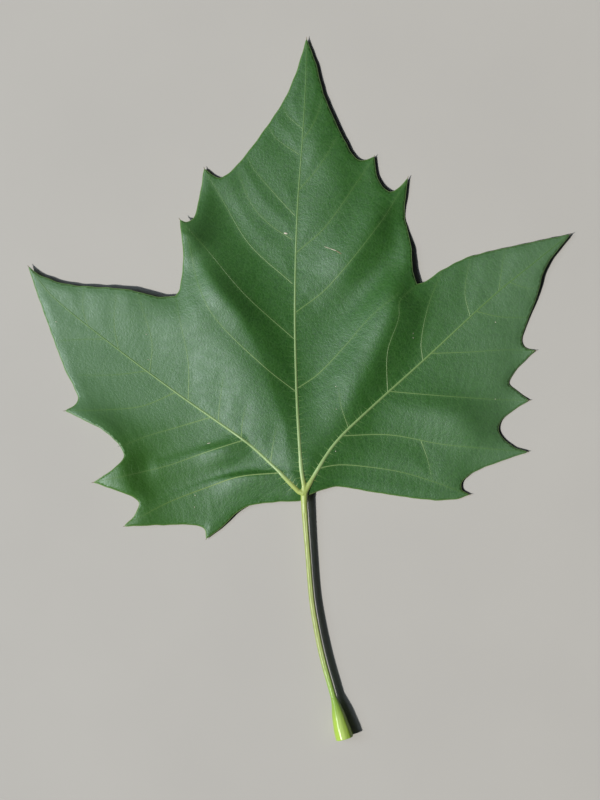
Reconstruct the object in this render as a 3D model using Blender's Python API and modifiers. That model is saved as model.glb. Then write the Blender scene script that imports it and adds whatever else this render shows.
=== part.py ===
"""A london plane leaf that has dropped off its tree, lying face up on level ground.

The blade is three lobes. Each is split along its main vein, and the vein runs in that slot. The three main
veins meet at the hub, where the stalk takes over and runs back to its swollen, hollow foot.

Blender works in metres with +Z up. The leaf's own numbers are in millimetres, measured from the hub: x across
the leaf, y along the midrib towards the centre lobe's tip, and z above the ground. The finished leaf is then
shifted, so that the world's origin is on the ground under the middle of its bounding box.
"""

import math

import bmesh
import bpy
import numpy as np
from mathutils import Vector
from mathutils.geometry import delaunay_2d_cdt, interpolate_bezier

MM = 0.001

# Driving dimensions, in millimetres.
BLADE_THICKNESS = 0.35
BLADE_REST_HEIGHT = 1.35  # top of the blade above the ground where no fold lifts it
MARGIN_CALM = 0.6  # how much of each fold has died away at the margin
MARGIN_CALM_WIDTH = 7.0
HUB_HOLD = 12.0  # within this distance of the hub the folds keep their height
MESH_PITCH = 3.6  # spacing of the blade's inner points
MARGIN_STEP = 2.6  # longest side of the margin's outline
LIMB_STEP = 6.0  # longest side of a vein's or the stalk's path
GAP = 0.3  # clear distance between pieces that grow together
LEFT_HUB_CLEARANCE = 2.3  # the left seam meets the vein slots this far from the hub
RIGHT_HUB_CLEARANCE = 4.0  # and the right seam, where the veins leave the hub closer together
VEIN_BEVEL = 2  # eight sides
STALK_BEVEL = 5  # fourteen sides
FOOT_SIDES = 24

# The margin of each lobe, clockwise seen from above. A TOOTH is a sharp point, and the rest is rounded.
ROUND = 0
TOOTH = 1
LEFT_SINUS = (-42.7, 64.7)
RIGHT_SINUS = (37.3, 68.7)

CENTRE_MARGIN = (
    (*LEFT_SINUS, TOOTH), (-41.3, 67.0, ROUND), (-40.1, 77.6, ROUND), (-40.5, 84.1, ROUND),
    (-41.3, 90.1, TOOTH), (-38.9, 89.1, ROUND), (-36.4, 91.4, ROUND), (-34.2, 101.4, ROUND),
    (-33.3, 107.2, TOOTH), (-30.6, 105.1, ROUND), (-27.5, 104.2, ROUND), (-20.7, 110.3, ROUND),
    (-7.8, 128.3, ROUND), (-3.2, 138.0, ROUND),
    (0.7, 150.2, TOOTH), (3.8, 141.7, ROUND), (6.8, 130.7, ROUND), (15.2, 113.0, ROUND), (18.8, 109.9, ROUND),
    (23.1, 111.2, TOOTH), (24.2, 104.2, ROUND), (27.7, 99.6, ROUND), (31.2, 100.6, ROUND),
    (34.3, 104.1, TOOTH), (33.2, 93.3, ROUND), (35.4, 80.3, ROUND), (35.9, 73.0, ROUND),
    (*RIGHT_SINUS, TOOTH),
)

RIGHT_MARGIN = (
    (*RIGHT_SINUS, TOOTH), (40.1, 69.5, ROUND), (45.6, 73.3, ROUND), (54.5, 77.7, ROUND), (74.2, 82.3, ROUND),
    (88.0, 85.2, TOOTH), (80.2, 74.7, ROUND), (77.2, 65.0, ROUND), (72.3, 51.3, ROUND), (73.1, 48.0, ROUND),
    (76.7, 46.7, TOOTH), (72.8, 43.0, ROUND), (68.0, 36.3, ROUND), (70.4, 33.4, ROUND),
    (74.5, 30.2, TOOTH), (66.2, 24.3, ROUND), (64.5, 20.0, ROUND), (69.0, 14.9, ROUND),
    (74.0, 13.0, TOOTH), (59.2, 7.7, ROUND), (53.0, 4.0, ROUND), (52.2, 0.6, ROUND),
    (54.7, -1.2, TOOTH), (49.8, -2.7, ROUND), (41.2, -2.8, ROUND), (22.5, -0.2, ROUND), (11.2, 1.6, ROUND),
    (5.8, 0.6, ROUND),
    (1.7, -1.0, TOOTH),
)

LEFT_MARGIN = (
    (-1.7, -3.1, TOOTH), (-12.2, -3.7, ROUND), (-20.4, -5.6, ROUND), (-28.5, -12.7, ROUND),
    (-32.6, -15.7, TOOTH), (-33.3, -12.6, ROUND), (-36.5, -11.2, ROUND), (-47.8, -11.2, ROUND),
    (-59.6, -11.5, TOOTH), (-55.7, -7.0, ROUND), (-55.2, -3.0, ROUND), (-61.3, 0.1, ROUND),
    (-69.8, 3.0, TOOTH), (-62.5, 8.0, ROUND), (-59.8, 12.5, ROUND), (-65.7, 19.7, ROUND),
    (-71.5, 22.9, ROUND),
    (-79.2, 26.7, TOOTH), (-75.9, 28.9, ROUND), (-75.2, 31.5, ROUND), (-79.8, 41.0, ROUND),
    (-87.5, 62.2, ROUND),
    (-91.7, 74.5, TOOTH), (-87.6, 71.5, ROUND), (-78.6, 68.6, ROUND), (-58.7, 66.8, ROUND),
    (-48.5, 64.4, ROUND),
    (*LEFT_SINUS, TOOTH),
)

# Main veins: the path from the hub outwards, then the width at both ends.
MIDRIB = {
    "path": ((-0.2, 1.8), (-1.0, 6.6), (-1.8, 17.3), (-2.7, 33.8), (-3.2, 60.3), (-2.4, 92.7), (-0.7, 116.7),
             (0.4, 136.0)),
    "width": (1.5, 0.5),
}
LEFT_VEIN = {
    "path": ((-2.0, 0.1), (-10.8, 8.9), (-18.8, 16.0), (-42.7, 32.8), (-65.7, 50.0), (-84.0, 65.0)),
    "width": (1.6, 0.5),
}
RIGHT_VEIN = {
    "path": ((1.7, 2.8), (4.5, 7.7), (9.1, 14.8), (15.2, 21.5), (39.8, 43.7), (63.2, 65.3), (77.0, 76.5)),
    "width": (1.4, 0.5),
}
VEIN_STAND_PROUD = 0.15  # a vein's crest above the blade's upper face

# The stalk's centre line, each point with its height above the ground and its radius.
STALK = (
    (-0.1, 1.3, 1.5, 1.10), (-0.1, -3.0, 1.7, 1.10), (0.4, -11.2, 2.2, 1.00), (1.1, -19.7, 2.5, 0.95),
    (2.5, -36.3, 2.8, 0.95), (4.3, -47.2, 2.9, 1.00), (6.3, -56.3, 2.95, 1.00), (9.0, -65.9, 2.95, 1.00),
    (9.7, -68.4, 2.95, 1.02),
)

# The foot is turned about a straight axis: its ends, then distances from the stalk's end with the radius
# there.
FOOT_AXIS = ((9.8, -68.8, 2.95), (13.4, -82.1, 2.95))
FOOT_OUTSIDE = ((0, 1.05), (2.4, 1.50), (5.3, 2.10), (8.2, 2.45), (10.9, 2.80))
FOOT_RIM_RADIUS = 2.95
MOUTH_RADIUS = 1.9  # the hollow that sat over the bud
HOLLOW_DEPTH = 6.5

# Folds that lift or lower the blade: points with the lift there, then the half width on the left and on the
# right of the path as it is walked.
FOLDS = {
    "left_shoulder": (
        ((-5.0, 9.0, 1.8), (-10.0, 26.0, 3.8), (-15.5, 42.0, 4.6), (-22.0, 56.0, 4.8), (-29.5, 66.0, 4.4),
         (-38.5, 77.0, 2.0)), 20.0, 10.0),
    "left_shoulder_crest": (((-21.5, 58.0, 0.6), (-29.5, 67.0, 0.6), (-38.0, 76.0, 0.4)), 4.0, 3.5),
    "left_upper_valley": (((-8.0, 72.0, 0.0), (-20.0, 84.0, -0.7), (-31.0, 97.0, -1.5)), 8.0, 10.0),
    "hub_rise": (((0.0, -3.0, 0.6), (-0.5, 8.0, 2.0)), 15.0, 15.0),
    "right_shoulder": (
        ((5.5, 12.0, 1.2), (13.0, 29.0, 4.1), (22.5, 46.0, 4.8), (30.0, 62.0, 5.3), (35.2, 75.0, 3.1)),
        10.5, 8.5),
    "right_edge": (((31.0, 66.0, 0.2), (35.0, 76.0, 0.8), (35.5, 84.0, 0.4)), 3.5, 6.0),
    "right_second_crest": (
        ((1.0, 64.0, 0.0), (7.0, 68.5, 0.8), (14.0, 75.5, 2.4), (21.0, 86.0, 2.6), (27.0, 97.0, 2.2)),
        6.5, 5.4),
    "right_valley": (
        ((3.0, 54.0, -0.2), (13.5, 60.0, -0.6), (22.5, 68.0, -1.2), (30.0, 78.0, -1.8), (33.5, 91.0, -2.4)),
        5.0, 4.5),
    "centre_ridge": (
        ((4.0, 72.0, 0.3), (8.0, 86.0, 1.5), (11.0, 102.0, 1.4), (8.0, 118.0, 1.8), (3.0, 136.0, 1.0)),
        12.0, 8.0),
    "left_first_pleat": (
        ((-6.0, 4.0, 0.8), (-19.0, 3.5, 2.8), (-31.5, 1.0, 1.0), (-42.0, -3.0, 0.8), (-52.0, -7.5, 1.2)),
        12.0, 3.0),
    "left_second_pleat": (
        ((-18.5, 16.5, 0.2), (-27.0, 13.5, 2.0), (-37.0, 11.0, 1.2), (-48.0, 7.7, 1.2)), 5.0, 3.0),
    "left_third_pleat": (((-44.8, 20.3, 0.2), (-56.0, 17.0, 1.0)), 6.0, 4.0),
    "right_pleat": (((22.5, 24.3, 0.6), (37.0, 27.0, 1.8), (51.0, 24.0, 2.6), (61.0, 18.0, 1.6)), 7.5, 8.5),
    "right_lower_pleat": (((18.5, 12.0, 0.3), (35.2, 8.7, 0.4), (48.5, 5.0, 0.6)), 6.0, 5.0),
}
# These lie along the margin, where the folds above die away and these do not.
MARGIN_FOLDS = {
    "left_upper_edge": (((-39.5, 85.3, 4.2), (-34.8, 97.0, 1.0), (-30.0, 104.0, 0.4)), 6.0, 7.0),
    "left_lobe_lift": (
        ((-90.8, 74.0, 0.6), (-74.8, 68.0, 1.6), (-58.2, 66.7, 2.4), (-44.8, 64.7, 1.6)), 16.0, 14.0),
    "left_lower_edge": (
        ((-79.0, 27.0, 1.6), (-65.0, 13.0, 4.8), (-60.0, 1.0, 4.4), (-57.0, -9.0, 2.0)), 8.0, 13.0),
    "right_lobe_lift": (((61.8, 63.7, 0.4), (75.2, 74.0, 1.0), (87.2, 84.7, 0.7)), 11.0, 14.0),
    "right_lower_edge": (
        ((83.0, 76.0, 0.0), (73.0, 50.0, -0.7), (70.0, 33.0, -0.8), (66.0, 20.0, -0.7), (53.0, 2.0, -0.2)),
        6.0, 6.0),
}

# Colour, roughness and metallic value of each material.
BLADE_GREEN = ((0.055, 0.165, 0.060), 0.42, 0.0)
VEIN_GREEN = ((0.330, 0.430, 0.150), 0.45, 0.0)
STALK_GREEN = ((0.270, 0.360, 0.090), 0.42, 0.0)
FOOT_GREEN = ((0.290, 0.440, 0.060), 0.28, 0.0)


def along(path, step):
    """A smooth line through the points of path, as numpy rows, with no side longer than step."""
    points = [np.array(p, float) for p in path]
    rows = [points[0]]
    for i, (start, end) in enumerate(zip(points, points[1:])):
        before = points[max(i - 1, 0)]
        after = points[min(i + 2, len(points) - 1)]
        reach = np.linalg.norm((end - start)[:2])
        leave = (end - before) * (reach / (3 * np.linalg.norm((end - before)[:2])))
        arrive = (after - start) * (reach / (3 * np.linalg.norm((after - start)[:2])))
        count = max(2, math.ceil(reach / step) + 1)
        corners = (start[:3], (start + leave)[:3], (end - arrive)[:3], end[:3])
        bezier = interpolate_bezier(*(Vector(np.resize(c, 3)) for c in corners), count)
        share = np.linspace(0, 1, count)[:, None]
        drawn = start + share * (end - start)
        drawn[:, :2] = [(p.x, p.y) for p in bezier]
        rows.extend(drawn[1:])
    return np.array(rows)


def margin_line(margin, step):
    """The margin as plan points: smooth between two teeth, and sharp at each."""
    rows = [np.array(margin[0][:2], float)]
    stretch = [margin[0][:2]]
    for x, y, kind in margin[1:]:
        stretch.append((x, y))
        if kind == TOOTH:
            rows.extend(along(stretch, step)[1:])
            stretch = [(x, y)]
    return np.array(rows)


def distance_to(points, path):
    """Distance of each plan point to the path, the side it is on (1 is left), and the path's value there."""
    nearest = np.full(len(points), np.inf)
    side = np.ones(len(points))
    value = np.zeros(len(points))
    for start, end in zip(path[:-1], path[1:]):
        run = end[:2] - start[:2]
        away = points - start[:2]
        share = np.clip(away @ run / (run @ run), 0, 1)
        off = away - share[:, None] * run
        distance = np.hypot(off[:, 0], off[:, 1])
        closer = distance < nearest
        nearest[closer] = distance[closer]
        side[closer] = np.where(run[0] * off[:, 1] - run[1] * off[:, 0] >= 0, 1, -1)[closer]
        if len(start) > 2:
            value[closer] = (start[2] + share * (end[2] - start[2]))[closer]
    return nearest, side, value


def folded(points, folds):
    """The lift that the folds give at each plan point."""
    lift_there = np.zeros(len(points))
    for path, left_width, right_width in folds.values():
        distance, side, lift = distance_to(points, np.array(path))
        width = np.where(side > 0, left_width, right_width)
        lift_there += lift * np.exp(-((distance / width) ** 2))
    return lift_there


def blade_height(points):
    """Height of the blade's upper face above the ground at each plan point."""
    margins = [margin_line(margin, MARGIN_STEP) for margin in (CENTRE_MARGIN, RIGHT_MARGIN, LEFT_MARGIN)]
    from_margin = np.min([distance_to(points, line)[0] for line in margins], axis=0)
    from_hub = np.hypot(points[:, 0], points[:, 1])
    away_from_hub = 1 - np.exp(-((from_hub / HUB_HOLD) ** 2))
    calm = MARGIN_CALM * np.exp(-((from_margin / MARGIN_CALM_WIDTH) ** 2)) * away_from_hub
    return BLADE_REST_HEIGHT + folded(points, FOLDS) * (1 - calm) + folded(points, MARGIN_FOLDS)


def headings(line):
    """The unit direction of travel at each point of a line."""
    run = np.gradient(line, axis=0)
    return run / np.linalg.norm(run, axis=1)[:, None]


def slot_side(vein, side):
    """The edge of a vein's slot, from the hub outwards. Side is 1 on the vein's left and -1 on its right."""
    line = along(vein["path"], LIMB_STEP)[:, :2]
    half = np.linspace(*vein["width"], len(line))[:, None] / 2 + GAP
    run = headings(line)
    return line + side * half * np.column_stack([-run[:, 1], run[:, 0]])


def past_hub(line, clearance):
    """The part of a slot's edge that is this far from the hub or more, starting at just that distance."""
    away = np.hypot(line[:, 0], line[:, 1])
    first = int(np.argmax(away >= clearance))
    if first == 0:
        return line
    share = (clearance - away[first - 1]) / (away[first] - away[first - 1])
    return np.vstack([line[first - 1] + share * (line[first] - line[first - 1]), line[first:]])


def slot_end(vein):
    """The closed end of a vein's slot, past the vein's own tip."""
    line = along(vein["path"], LIMB_STEP)[:, :2]
    return line[-1] + headings(line)[-1] * (vein["width"][1] / 2 + GAP)


def lobe_loop(margin, vein, left_clearance, right_clearance, seam_shifts):
    """A lobe's closed outline: its margin clockwise, then in to the hub, round its vein's slot and back.

    The clearances say how near the hub each edge of the slot starts. The seam shifts move the margin's first
    and last points sideways, off the seam with the next lobe.
    """
    outside = margin_line(margin, MARGIN_STEP)
    outside[[0, -1], 0] += seam_shifts
    right = past_hub(slot_side(vein, -1), right_clearance)
    left = past_hub(slot_side(vein, 1), left_clearance)
    return np.vstack([outside, right, [slot_end(vein)], left[::-1]])


def inside(points, loop):
    """Whether each plan point is inside the loop, by counting the sides to the right of it."""
    crossings = np.zeros(len(points), int)
    for start, end in zip(loop, np.roll(loop, -1, axis=0)):
        spans = (start[1] > points[:, 1]) != (end[1] > points[:, 1])
        rise = end[1] - start[1]
        share = (points[:, 1] - start[1]) / (rise if rise else 1)
        crossings += spans & (points[:, 0] < start[0] + share * (end[0] - start[0]))
    return crossings % 2 == 1


def lattice(loop, pitch):
    """Points of a triangular lattice inside the loop and clear of it."""
    row_height = pitch * math.sqrt(3) / 2
    low, high = loop.min(axis=0), loop.max(axis=0)
    rows = []
    for k, y in enumerate(np.arange(low[1], high[1], row_height)):
        rows += [(x, y) for x in np.arange(low[0] + (k % 2) * pitch / 2, high[0], pitch)]
    points = np.array(rows)
    points = points[inside(points, loop)]
    distance, _, _ = distance_to(points, np.vstack([loop, loop[:1]]))
    return points[distance > pitch / 2]


def linked(name, data):
    """A new object in the leaf's collection, under the leaf's parent."""
    obj = bpy.data.objects.new(name, data)
    obj.parent = bpy.data.objects["leaf_origin"]
    bpy.data.collections["plane_leaf"].objects.link(obj)
    return obj


def new_object(name, bm, material):
    mesh = bpy.data.meshes.new(name)
    bm.to_mesh(mesh)
    bm.free()
    mesh.materials.append(material)
    return linked(name, mesh)


def build_lobe(name, loop, material):
    """One lobe: its outline filled with triangles, lifted by the folds, and given the blade's thickness."""
    plan = np.vstack([loop, lattice(loop, MESH_PITCH)])
    outline = [list(range(len(loop)))]
    points, _, faces, *_ = delaunay_2d_cdt([Vector(p) for p in plan], [], outline, 1, GAP * MM)
    points = np.array([tuple(p) for p in points])
    bm = bmesh.new()
    verts = [bm.verts.new((*p, z)) for p, z in zip(points * MM, blade_height(points) * MM)]
    for face in faces:
        bm.faces.new([verts[i] for i in face])
    bmesh.ops.recalc_face_normals(bm, faces=bm.faces)
    if sum(face.normal.z for face in bm.faces) < 0:
        bmesh.ops.reverse_faces(bm, faces=bm.faces)
    blade = new_object(name, bm, material)
    shell = blade.modifiers.new("thickness", "SOLIDIFY")
    shell.thickness = BLADE_THICKNESS * MM
    shell.offset = -1
    return blade


def build_limb(name, line, radii, bevel, material):
    """A closed round limb along a line in mm, with its own radius at each point."""
    curve = bpy.data.curves.new(name, "CURVE")
    curve.dimensions = "3D"
    curve.bevel_depth = MM
    curve.bevel_resolution = bevel
    curve.use_fill_caps = True
    curve.materials.append(material)
    spline = curve.splines.new("POLY")
    spline.points.add(len(line) - 1)
    for point, place, radius in zip(spline.points, line, radii):
        point.co = (*place * MM, 1)
        point.radius = radius
    return linked(name, curve)


def build_vein(name, vein, material):
    """One main vein: it stands a little proud of the blade and tapers to its tip."""
    plan = along(vein["path"], LIMB_STEP)[:, :2]
    radii = np.linspace(*vein["width"], len(plan)) / 2
    heights = blade_height(plan) + VEIN_STAND_PROUD - radii
    return build_limb(name, np.column_stack([plan, heights]), radii, VEIN_BEVEL, material)


def build_stalk(material):
    """The stalk, which rises with the hub's fold where it nears the blade."""
    line = along(STALK, LIMB_STEP)
    line[:, 2] += folded(line[:, :2], FOLDS)
    return build_limb("stalk", line[:, :3], line[:, 3], STALK_BEVEL, material)


def build_foot(material):
    """The stalk's swollen foot, with the flat rim and the tapering hollow that sat over the bud."""
    start, end = (Vector(point) for point in FOOT_AXIS)
    length = (end - start).length
    outside = [(radius, z) for z, radius in FOOT_OUTSIDE]
    rim = [(FOOT_RIM_RADIUS, length), (MOUTH_RADIUS, length)]
    profile = [(0, 0), *outside, *rim, (0, length - HOLLOW_DEPTH)]
    bm = bmesh.new()
    verts = [bm.verts.new((radius * MM, 0, z * MM)) for radius, z in profile]
    for pair in zip(verts, verts[1:]):
        bm.edges.new(pair)
    foot = new_object("stalk_foot", bm, material)
    turned = foot.modifiers.new("turned", "SCREW")
    turned.steps = turned.render_steps = FOOT_SIDES
    turned.use_merge_vertices = True
    turned.merge_threshold = 0.0001 * MM
    turned.use_normal_flip = True
    foot.location = start * MM
    foot.rotation_euler = (end - start).to_track_quat("Z", "Y").to_euler()
    return foot


def new_material(name, looks):
    colour, roughness, metallic = looks
    material = bpy.data.materials.new(name)
    material.use_nodes = True
    shader = material.node_tree.nodes["Principled BSDF"]
    shader.inputs["Base Color"].default_value = (*colour, 1)
    shader.inputs["Roughness"].default_value = roughness
    shader.inputs["Metallic"].default_value = metallic
    material.diffuse_color = (*colour, 1)
    return material


def clear_scene():
    for obj in list(bpy.data.objects):
        bpy.data.objects.remove(obj, do_unlink=True)


def shift_to_origin(nodes):
    """Moves the leaf's parent so that the leaf stands on z = 0, centred over the world's origin."""
    corners = []
    graph = bpy.context.evaluated_depsgraph_get()
    for node in nodes:
        evaluated = node.evaluated_get(graph)
        mesh = evaluated.to_mesh()
        corners += [evaluated.matrix_world @ vert.co for vert in mesh.vertices]
        evaluated.to_mesh_clear()
    low = np.min(corners, axis=0)
    high = np.max(corners, axis=0)
    middle = (low + high) / 2
    bpy.data.objects["leaf_origin"].location = (-middle[0], -middle[1], -low[2])


def main():
    clear_scene()
    collection = bpy.data.collections.new("plane_leaf")
    bpy.context.scene.collection.children.link(collection)
    collection.objects.link(bpy.data.objects.new("leaf_origin", None))

    blade = new_material("leaf_blade", BLADE_GREEN)
    vein = new_material("main_vein", VEIN_GREEN)
    half_gap = GAP / 2
    centre = lobe_loop(CENTRE_MARGIN, MIDRIB, LEFT_HUB_CLEARANCE, RIGHT_HUB_CLEARANCE, (half_gap, -half_gap))
    left = lobe_loop(LEFT_MARGIN, LEFT_VEIN, 0, LEFT_HUB_CLEARANCE, (0, -half_gap))
    right = lobe_loop(RIGHT_MARGIN, RIGHT_VEIN, RIGHT_HUB_CLEARANCE, 0, (half_gap, 0))
    nodes = [
        build_lobe("centre_lobe", centre, blade),
        build_lobe("left_lobe", left, blade),
        build_lobe("right_lobe", right, blade),
        build_vein("midrib", MIDRIB, vein),
        build_vein("left_main_vein", LEFT_VEIN, vein),
        build_vein("right_main_vein", RIGHT_VEIN, vein),
        build_stalk(new_material("stalk", STALK_GREEN)),
        build_foot(new_material("stalk_foot", FOOT_GREEN)),
    ]
    shift_to_origin(nodes)


main()
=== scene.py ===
"""The looks of a fallen london plane leaf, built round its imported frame.

The leaf's own numbers are in millimetres, measured from its hub, where the stalk meets the blade: x across
the leaf, y along the midrib towards the centre lobe's tip, and z above the ground. `in_frame` turns them into
the frame's metres.
"""

import math
import random

import bpy
import numpy as np
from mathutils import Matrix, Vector
from mathutils.geometry import delaunay_2d_cdt
from mathutils.kdtree import KDTree

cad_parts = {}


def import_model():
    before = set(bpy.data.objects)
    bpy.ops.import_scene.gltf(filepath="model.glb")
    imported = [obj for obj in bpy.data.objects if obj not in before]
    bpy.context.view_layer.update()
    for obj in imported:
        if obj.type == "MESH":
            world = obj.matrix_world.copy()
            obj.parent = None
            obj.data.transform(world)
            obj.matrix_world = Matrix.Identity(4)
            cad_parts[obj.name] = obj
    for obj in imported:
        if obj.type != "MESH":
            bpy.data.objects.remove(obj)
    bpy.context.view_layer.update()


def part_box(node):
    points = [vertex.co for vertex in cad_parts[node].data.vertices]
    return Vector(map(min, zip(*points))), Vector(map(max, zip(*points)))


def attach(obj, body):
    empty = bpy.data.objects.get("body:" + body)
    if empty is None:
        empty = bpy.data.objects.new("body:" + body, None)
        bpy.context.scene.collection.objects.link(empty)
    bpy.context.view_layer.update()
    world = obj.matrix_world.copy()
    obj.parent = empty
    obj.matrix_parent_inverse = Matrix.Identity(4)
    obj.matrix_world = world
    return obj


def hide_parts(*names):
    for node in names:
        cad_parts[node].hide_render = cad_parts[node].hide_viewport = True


MM = 0.001
SEED = 7

# The blade.
BLADE_THICKNESS = 0.35
BLADE_REST_HEIGHT = 1.35  # its upper face where no fold lifts it
BLADE_PITCH = 0.58  # spacing of the blade's inner points
BLADE_CLEAR = 0.6  # how far they keep from the margin, as a share of their spacing
MARGIN_STEP = 0.45
MARGIN_WAVER = 0.10  # how far the cut of the margin strays from its smooth line
MARGIN_WAVER_LENGTH = 5.0
PANEL_BULGE = 0.22  # how far the blade swells between two veins
PANEL_WIDTH = 3.2  # and the distance from a vein over which it rises
FLAT_PATCH = (-52.0, 46.0, 26.0)  # the middle and reach of the stretch whose panels swell less
FLAT_SHARE = 0.7
MARGIN_DROOP = 0.14  # how far the blade's edge turns down
MARGIN_DROOP_WIDTH = 1.4
MARGIN_CALM = 0.6  # how much of each fold has died away at the margin
MARGIN_CALM_WIDTH = 7.0
HUB_HOLD = 12.0  # within this distance of the hub the folds keep their height
COBBLE_BULGE = 0.03  # how far it swells between two ladder veins, with its distance as above
COBBLE_WIDTH = 0.75

# The margin, clockwise seen from above. Each row starts at a sharp corner, which is a tooth or the bottom of
# a notch, and the line runs on smoothly through the row's other points to the next row's corner.
LEFT_SINUS = (-42.7, 64.7)
RIGHT_SINUS = (37.3, 68.7)
MARGIN = (
    # the centre lobe
    (LEFT_SINUS, (-41.3, 67.0), (-40.1, 77.6), (-40.5, 84.1)),
    ((-41.3, 90.1), (-38.9, 89.1), (-36.4, 91.4), (-34.2, 101.4)),
    ((-33.3, 107.2), (-30.6, 105.1), (-27.5, 104.2), (-20.7, 110.3), (-7.8, 128.3), (-3.2, 138.0)),
    ((0.7, 150.2), (3.8, 141.7), (6.8, 130.7), (15.2, 113.0), (18.8, 109.9)),
    ((23.1, 111.2), (24.2, 104.2), (27.7, 99.6), (31.2, 100.6)),
    ((34.3, 104.1), (33.2, 93.3), (35.4, 80.3), (35.9, 73.0)),
    # the right lobe
    (RIGHT_SINUS, (40.1, 69.5), (45.6, 73.3), (54.5, 77.7), (74.2, 82.3)),
    ((88.0, 85.2), (80.2, 74.7), (77.2, 65.0), (72.3, 51.3), (73.1, 48.0)),
    ((76.7, 46.7), (72.8, 43.0), (68.0, 36.3), (70.4, 33.4)),
    ((74.5, 30.2), (66.2, 24.3), (64.5, 20.0), (69.0, 14.9)),
    ((74.0, 13.0), (59.2, 7.7), (53.0, 4.0), (52.2, 0.6)),
    ((54.7, -1.2), (49.8, -2.7), (41.2, -2.8), (22.5, -0.2), (11.2, 1.6), (5.8, 0.6)),
    ((1.7, -1.0),),
    # the left lobe
    ((-1.7, -3.1), (-12.2, -3.7), (-20.4, -5.6), (-28.5, -12.7)),
    ((-32.6, -15.7), (-33.3, -12.6), (-36.5, -11.2), (-47.8, -11.2)),
    ((-59.6, -11.5), (-55.7, -7.0), (-55.2, -3.0), (-61.3, 0.1)),
    ((-69.8, 3.0), (-62.5, 8.0), (-59.8, 12.5), (-65.7, 19.7), (-71.5, 22.9)),
    ((-79.2, 26.7), (-75.9, 28.9), (-75.2, 31.5), (-79.8, 41.0), (-87.5, 62.2)),
    ((-91.7, 74.5), (-87.6, 71.5), (-78.6, 68.6), (-58.7, 66.8), (-48.5, 64.4)),
)
LEFTMOST = -91.7
TOPMOST = 150.2

# Main veins: the path from the hub outwards, and the width at both ends.
MAIN_VEINS = {
    "midrib": (
        ((-0.2, 1.8), (-1.0, 6.6), (-1.8, 17.3), (-2.7, 33.8), (-3.2, 60.3), (-2.4, 92.7), (-0.7, 116.7),
         (0.4, 136.0), (0.7, 148.8)),
        1.85, 0.26),
    "left_main_vein": (
        ((-2.0, 0.1), (-10.8, 8.9), (-18.8, 16.0), (-42.7, 32.8), (-65.7, 50.0), (-84.0, 65.0),
         (-90.6, 73.2)),
        1.85, 0.22),
    "right_main_vein": (
        ((1.7, 2.8), (4.5, 7.7), (9.1, 14.8), (15.2, 21.5), (39.8, 43.7), (63.2, 65.3), (77.0, 76.5),
         (86.6, 84.2)),
        1.65, 0.22),
}
VEIN_PROUD = (0.28, 0.07)  # how far a main vein's crest stands over the blade, at the hub and at its tip
VEIN_TAPER = 0.75  # under 1, so that a main vein thins fastest near the hub
VEIN_TIP_PALENESS = 0.12
VEIN_SIDES = 14

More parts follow.
